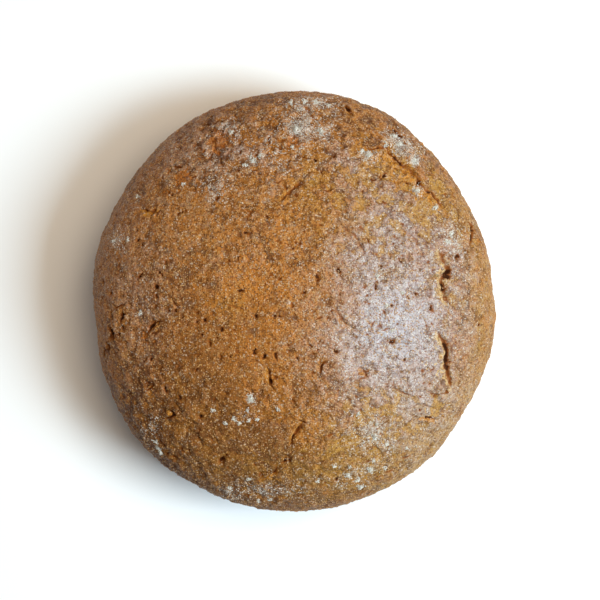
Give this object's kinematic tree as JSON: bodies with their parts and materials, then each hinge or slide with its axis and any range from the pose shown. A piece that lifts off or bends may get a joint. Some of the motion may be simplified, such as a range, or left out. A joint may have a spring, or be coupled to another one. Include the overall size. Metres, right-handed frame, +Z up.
{
  "type": "rye bread loaf",
  "caption": "Round hearth-baked rye bread loaf: low dome with a torn, pitted brown crust and a flat base.",
  "frame": {"origin": "middle of the flat base, under the centre of the loaf's box", "axes": "+Z up; +X to the right of the picture and +Y to its top"},
  "size_m": [0.205, 0.2152, 0.0879],
  "materials": {
    "crust": "matte"
  },
  "bodies": {
    "root": {"loaf": "crust"}
  },
  "joints": []
}
